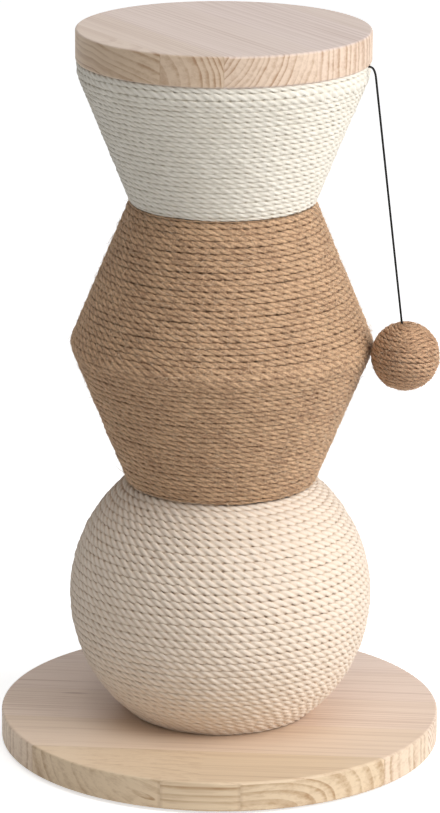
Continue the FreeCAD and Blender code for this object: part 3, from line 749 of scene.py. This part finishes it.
straw = new_material("jute_fibre", Roughness=0.8, Sheen_Weight=0.2)
tree = straw.node_tree
shade = noise(tree, place_of(tree), 300)
into(straw, "Base Color", mixed(tree, remap(tree, shade, 0.35, 0.65, 0.0, 1.0),
                                (0.55, 0.36, 0.21, 1), (0.95, 0.74, 0.52, 1)))
hairs = loose_fibres("jute_rope_fibres", jute_places, jute_outwards, JUTE_DEPTH, count=12000,
                     reach=5.5 * MM, thick=0.13 * MM, lift=0.21, seed=71)
strays = loose_fibres("jute_rope_strays", jute_places, jute_outwards, JUTE_DEPTH, count=40,
                      reach=6 * MM, thick=0.28 * MM, lift=0.45, seed=79)
for piece in (hairs, strays):
    piece.data.materials.append(straw)
    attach(piece, "post")


# ------------------------------------------------------------------ white rope
# Soft off-white rope wound round the flared collar, with two wider rows on the upright band
# under the top board.

COLLAR_RIM = (96.8 * MM, 464.65 * MM)
COLLAR_HEAD = (97.2 * MM, 474.304 * MM)
RIM_ROUND = 8 * MM
FLARE_PITCH = 3.93 * MM
BAND_PITCH = 4.75 * MM


def white_pitch(height):
    """Rows lie closer on the flare than on the band, and change over just below the rim."""
    return np.interp(height, [COLLAR_RIM[1] - 3 * MM, COLLAR_RIM[1] + 1 * MM],
                     [FLARE_PITCH, BAND_PITCH])


collar_outline = [NECK, *rounded_corner(NECK, COLLAR_RIM, COLLAR_HEAD, RIM_ROUND), COLLAR_HEAD]
# the valley colour is painted shade in the rope's valleys and creases
white = rope_material("white_rope", pale=(0.92, 0.875, 0.785, 1), dark=(0.82, 0.765, 0.66, 1),
                      valley=(0.64, 0.57, 0.46, 1), valley_shade_share=0.45, crease_shade_share=0.5,
                      speckle=0.45, half_range=0.14, fuzz=0.0, relief=0.3, Roughness=0.75,
                      Sheen_Weight=0.2, Specular_IOR_Level=0.2)
wrap("white_rope", "white_rope_wrap", white, collar_outline, parts=2,
     pitch=white_pitch, depth=2.1 * MM, step=0.92 * MM, lay=21 * MM, valley=0.28,
     uneven=0.26 * MM, seed=37, pressed=1.22, flat=0.46, rough=0.05)


# ------------------------------------------------------------------ top board
# Round board, 196 mm across, glued up from five pine staves like the base and screwed on last.
# A groove in its underside lets the toy's cord out under the rim.

top_pine = pine_board(
    "pine_of_the_top",
    direction=120.0,
    joints=(-0.0798, -0.0488, 0.0132, 0.075),
    staves=((-0.092, -0.060, 0.22, 0.0046, 0.0046, 0.7),
            (-0.118, -0.013, 0.0, 0.0120, 0.0028, 0.6),
            (-0.078, 0.026, 0.0, 0.0034, 0.0052, 0.35),
            (-0.100, 0.004, 0.02, 0.0056, 0.0050, 0.25),
            (0.150, 0.060, 0.0, 0.0036, 0.0040, 0.4)),
    middle=484.8 * MM,
    face=((0.72, 0.61, 0.54, 1), (0.52, 0.39, 0.32, 1), 0.60),
    rim=((0.74, 0.59, 0.45, 1), (0.43, 0.27, 0.16, 1), 0.85),
    calm=(1.0, 0.1))
dress("top_board", top_pine)


# ------------------------------------------------------------------ toy cord
# Thin black elastic, 1.5 mm across: knotted in the board's groove, out over the rim, and down
# to a knot inside the toy ball. One cord, in three pieces here because it bends and stretches.

CORD_RADIUS = 0.75 * MM
TOY_TURN = math.radians(-13)
HINGE_TO_KNOT = 204.7 * MM


def in_toy_plane(out, height):
    """The point that many mm from the post's axis and from the floor, in the toy's plane."""
    return Vector((out * math.cos(TOY_TURN), out * math.sin(TOY_TURN), height)) * MM


cord_start = in_toy_plane(84.0, 475.154)
rim_point = in_toy_plane(98.4, 475.154)
hinge_point = in_toy_plane(101.805, 471.456)
toy_middle = in_toy_plane(125.4, 279.804)
hang = (toy_middle - hinge_point).normalized()
cord_knot = hinge_point + hang * HINGE_TO_KNOT


def cord_line(name, points):
    """Points read from a smooth NURBS line that has these control points."""
    data = bpy.data.curves.new(name, "CURVE")
    data.dimensions = "3D"
    data.resolution_u = 24
    spline = data.splines.new("NURBS")
    spline.points.add(len(points) - 1)
    for point, place in zip(spline.points, points):
        point.co = (*place, 1)
    spline.order_u = 3
    spline.use_endpoint_u = True
    curve = bpy.data.objects.new(name, data)
    scene.collection.objects.link(curve)
    bpy.context.view_layer.update()
    mesh = bpy.data.meshes.new_from_object(curve)
    line = [v.co.copy() for v in mesh.vertices]
    bpy.data.objects.remove(curve)
    bpy.data.meshes.remove(mesh)
    return line


def tube(name, line):
    """The cord along a line of points, closed at both ends."""
    sides = 12
    mesh = bpy.data.meshes.new(name)
    shape = bmesh.new()
    level = Vector((math.sin(TOY_TURN), -math.cos(TOY_TURN), 0))
    rings = []
    for index, place in enumerate(line):
        ahead = (line[min(index + 1, len(line) - 1)] - line[max(index - 1, 0)]).normalized()
        other = ahead.cross(level).normalized()
        ring = []
        for number in range(sides):
            a = 2 * math.pi * number / sides
            off = (level * math.cos(a) + other * math.sin(a)) * CORD_RADIUS
            ring.append(shape.verts.new(place + off))
        rings.append(ring)
    for near, far in zip(rings[:-1], rings[1:]):
        for number in range(sides):
            after = (number + 1) % sides
            shape.faces.new((near[number], near[after], far[after], far[number]))
    shape.faces.new(rings[0][::-1])
    shape.faces.new(rings[-1])
    bmesh.ops.recalc_face_normals(shape, faces=shape.faces)
    for face in shape.faces:
        face.smooth = len(face.verts) == 4
    shape.to_mesh(mesh)
    shape.free()
    made = bpy.data.objects.new(name, mesh)
    scene.collection.objects.link(made)
    return made


elastic = new_material("black_elastic", Roughness=0.9, Specular_IOR_Level=0.15)
tree = elastic.node_tree
plait = add(tree, "TexWave", ("Vector", place_of(tree)), ("Scale", 900), ("Distortion", 1.0),
            bands_direction="Z").outputs[1]
into(elastic, "Base Color", mixed(tree, plait, (0.008, 0.008, 0.009, 1), (0.022, 0.021, 0.022, 1)))
bump(elastic, plait, strength=0.25, distance=0.0002)

route = cord_line("toy_cord_route", [
    cord_start,
    rim_point,
    hinge_point,
    hinge_point + hang * 9 * MM,
    cord_knot,
])


def between(line, low, high):
    """The part of a line from one run length to another."""
    lengths = [0.0]
    for near, far in zip(line[:-1], line[1:]):
        lengths.append(lengths[-1] + (far - near).length)
    high = min(high, lengths[-1])
    cut = []
    for target in (low, high):
        index = max(i for i, run in enumerate(lengths[:-1]) if run <= target)
        share = (target - lengths[index]) / (lengths[index + 1] - lengths[index])
        cut.append(line[index].lerp(line[index + 1], share))
    inner = [p for p, run in zip(line, lengths) if low + 1e-5 < run < high - 1e-5]
    return [cut[0], *inner, cut[1]]


def with_steps(line, step):
    """The same line with more points on its long runs, so that it can bend."""
    dense = [line[0]]
    for near, far in zip(line[:-1], line[1:]):
        parts = max(1, math.ceil((far - near).length / step))
        dense += [near.lerp(far, i / parts) for i in range(1, parts + 1)]
    return dense


# where the cord leaves the board's seam, and where the bend's piece ends, along the route
ROOT_RUN = 14.4 * MM
BEND_RUN = 54 * MM
hanging_line = between(route, BEND_RUN, math.inf)
root = tube("toy_cord_in_groove", between(route, 0, ROOT_RUN))
bend = tube("toy_cord_bend", with_steps(between(route, ROOT_RUN, BEND_RUN), 1.5 * MM))
hanging = tube("toy_cord_hanging", with_steps(hanging_line, 6 * MM))
for piece, node in ((root, "toy_cord_root"), (bend, "toy_cord_elbow"), (hanging, "toy_cord")):
    piece.data.materials.append(elastic)
    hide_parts(node)
dress("toy_cord_knot", elastic)
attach(root, "post")
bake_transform(bend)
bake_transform(hanging)


# ------------------------------------------------------------------ toy ball
# Wooden ball inside, wound with thin jute: level rows from its foot to its head, and a few
# slanted turns that come up through them near the top right and go down again.

TOY_RADIUS = 23.0 * MM
TWINE = 1.6 * MM
TWINE_PITCH = 3.2 * MM
TWINE_LAY = 15 * MM
TOY_LEAN = math.radians(5)

raw_wood = new_material("raw_wood", Roughness=0.7)
tree = raw_wood.node_tree
veins = noise(tree, place_of(tree, scale=(1, 1, 0.1)), 300, detail=3)
into(raw_wood, "Base Color", mixed(tree, veins, (0.55, 0.38, 0.22, 1), (0.70, 0.53, 0.34, 1)))
bump(raw_wood, veins, strength=0.2, distance=0.0003)
dress("toy_ball_core", raw_wood)

# the level rows reach to 86 degrees below and above the ball's middle
toy_outline = []
for step in range(121):
    a = math.radians(-86 + 172 * step / 120)
    toy_outline.append((TOY_RADIUS * math.cos(a), TOY_RADIUS * math.sin(a)))
places, outwards, widths, lengths, _ = wound(toy_outline, TWINE_PITCH, TWINE, step=0.45 * MM)
tilt = np.array(Matrix.Rotation(TOY_TURN, 3, "Z") @ Matrix.Rotation(TOY_LEAN, 3, "Y"))
places = places @ tilt.T + np.array(toy_middle)
outwards = outwards @ tilt.T
toy_rope = laid_rope("toy_ball_twine", places, outwards, widths * 1.08,
                     np.full(len(places), TWINE), lengths, TWINE_LAY, valley=0.32,
                     uneven=0.30 * MM, seed=51, flat=0.55, rough=0.08)


def slanted_turns(count, first, last):
    """Centre line of turns laid slantwise over the ball, which wander from one distance off its
    middle to another. They stand out at its upper right and lie under the level rows elsewhere."""
    sunk = 2.0 * MM
    lift = 2.4 * MM
    axis = np.array([-0.55, 0.50, 0.67])
    axis /= np.linalg.norm(axis)
    spot = np.array([0.55, -0.48, 0.68])
    spot /= np.linalg.norm(spot)
    side = np.cross(axis, spot)
    side /= np.linalg.norm(side)
    front = np.cross(side, axis)
    turns = np.linspace(0, count, int(count * 300))
    angle = 2 * math.pi * (turns - 0.5)
    off = np.linspace(first, last, len(turns)) / TOY_RADIUS
    around = np.sqrt(1 - off ** 2)[:, None] * (np.cos(angle)[:, None] * front
                                               + np.sin(angle)[:, None] * side)
    outwards = around + off[:, None] * axis
    share = np.clip((outwards @ spot - 0.58) / 0.25, 0, 1)
    share = share * share * (3 - 2 * share)
    radius = TOY_RADIUS - TWINE - sunk + share * lift
    places = outwards * radius[:, None]
    return places, outwards, run_lengths(places)


over_places, over_outwards, over_lengths = slanted_turns(6, first=-11 * MM, last=8 * MM)
count = len(over_places)
over_rope = laid_rope("toy_ball_slanted_twine", over_places + np.array(toy_middle), over_outwards,
                      np.full(count, TWINE_PITCH * 0.54), np.full(count, TWINE), over_lengths,
                      TWINE_LAY, valley=0.26, uneven=0.25 * MM, seed=57, flat=0.6, rough=0.08)
# the valley colour is painted shade in the twine's valleys and creases
toy_jute = rope_material("toy_jute_twine", pale=(0.78, 0.48, 0.28, 1),
                         dark=(0.25, 0.115, 0.05, 1), valley=(0.10, 0.04, 0.015, 1),
                         valley_shade_share=0.6, crease_shade_share=1.0, speckle=0.72, half_range=0.09,
                         fuzz=0.5, relief=0.8, Roughness=0.62, Specular_IOR_Level=0.6)
for rope in (toy_rope, over_rope):
    rope.data.materials.append(toy_jute)
    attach(rope, "toy_ball")
    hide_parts("toy_ball_wrap")
hairs = loose_fibres("toy_ball_fibres", places, outwards, TWINE, count=1500, reach=3.5 * MM,
                     thick=0.11 * MM, lift=0.2, seed=73)
hairs.data.materials.append(straw)
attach(hairs, "toy_ball")


# ------------------------------------------------------------------ studio
# Plain pale floor and plain soft light: a large lamp at the right front, a weak one
# overhead, and a white room.

FLOOR_HALF = 6
FLOOR_GLOW = 0.62
ROOM_LIGHT = 0.265


def seen_itself(tree):
    """1 for rays that show a surface to the camera, 0 for rays that light other surfaces."""
    rays = add(tree, "LightPath").outputs
    shown = maths(tree, "MAXIMUM", rays["Is Camera Ray"], rays["Is Glossy Ray"])
    return maths(tree, "MAXIMUM", shown, rays["Is Transmission Ray"])


floor_data = bpy.data.meshes.new("floor")
corners = [(x * FLOOR_HALF, y * FLOOR_HALF, 0) for x, y in ((-1, -1), (1, -1), (1, 1), (-1, 1))]
floor_data.from_pydata(corners, [], [(0, 1, 2, 3)])
floor = bpy.data.objects.new("floor", floor_data)
scene.collection.objects.link(floor)
floor_white = new_material("floor_white", Base_Color=(0.85, 0.85, 0.85, 1), Roughness=0.9)
floor.data.materials.append(floor_white)
tree = floor_white.node_tree
strength = maths(tree, "MULTIPLY", seen_itself(tree), FLOOR_GLOW)
glow = add(tree, "Emission", ("Color", (1, 1, 1, 1)), ("Strength", strength))
both = add(tree, "AddShader", (0, tree.nodes["Principled BSDF"].outputs[0]), (1, glow.outputs[0]))
tree.links.new(both.outputs[0], tree.nodes["Material Output"].inputs["Surface"])

world = bpy.data.worlds.new("white_room")
scene.world = world
world.use_nodes = True
tree = world.node_tree
room = tree.nodes["Background"]
room.inputs["Color"].default_value = (1, 1, 1, 1)
strength = remap(tree, seen_itself(tree), 0.0, 1.0, ROOM_LIGHT, 1.0)
tree.links.new(strength, room.inputs["Strength"])


def lamp(name, place, size, power):
    """A square soft lamp that points at the middle of the post."""
    data = bpy.data.lights.new(name, "AREA")
    data.size = size
    data.energy = power
    made = bpy.data.objects.new(name, data)
    made.location = place
    aim = Vector((0, 0, 0.25)) - Vector(place)
    made.rotation_euler = aim.to_track_quat("-Z", "Y").to_euler()
    scene.collection.objects.link(made)


lamp("key_lamp", (2.62, -1.22, 1.80), size=2.6, power=103)
lamp("top_lamp", (0.1, -1.0, 3.0), size=1.8, power=22)

scene.view_settings.view_transform = "Standard"
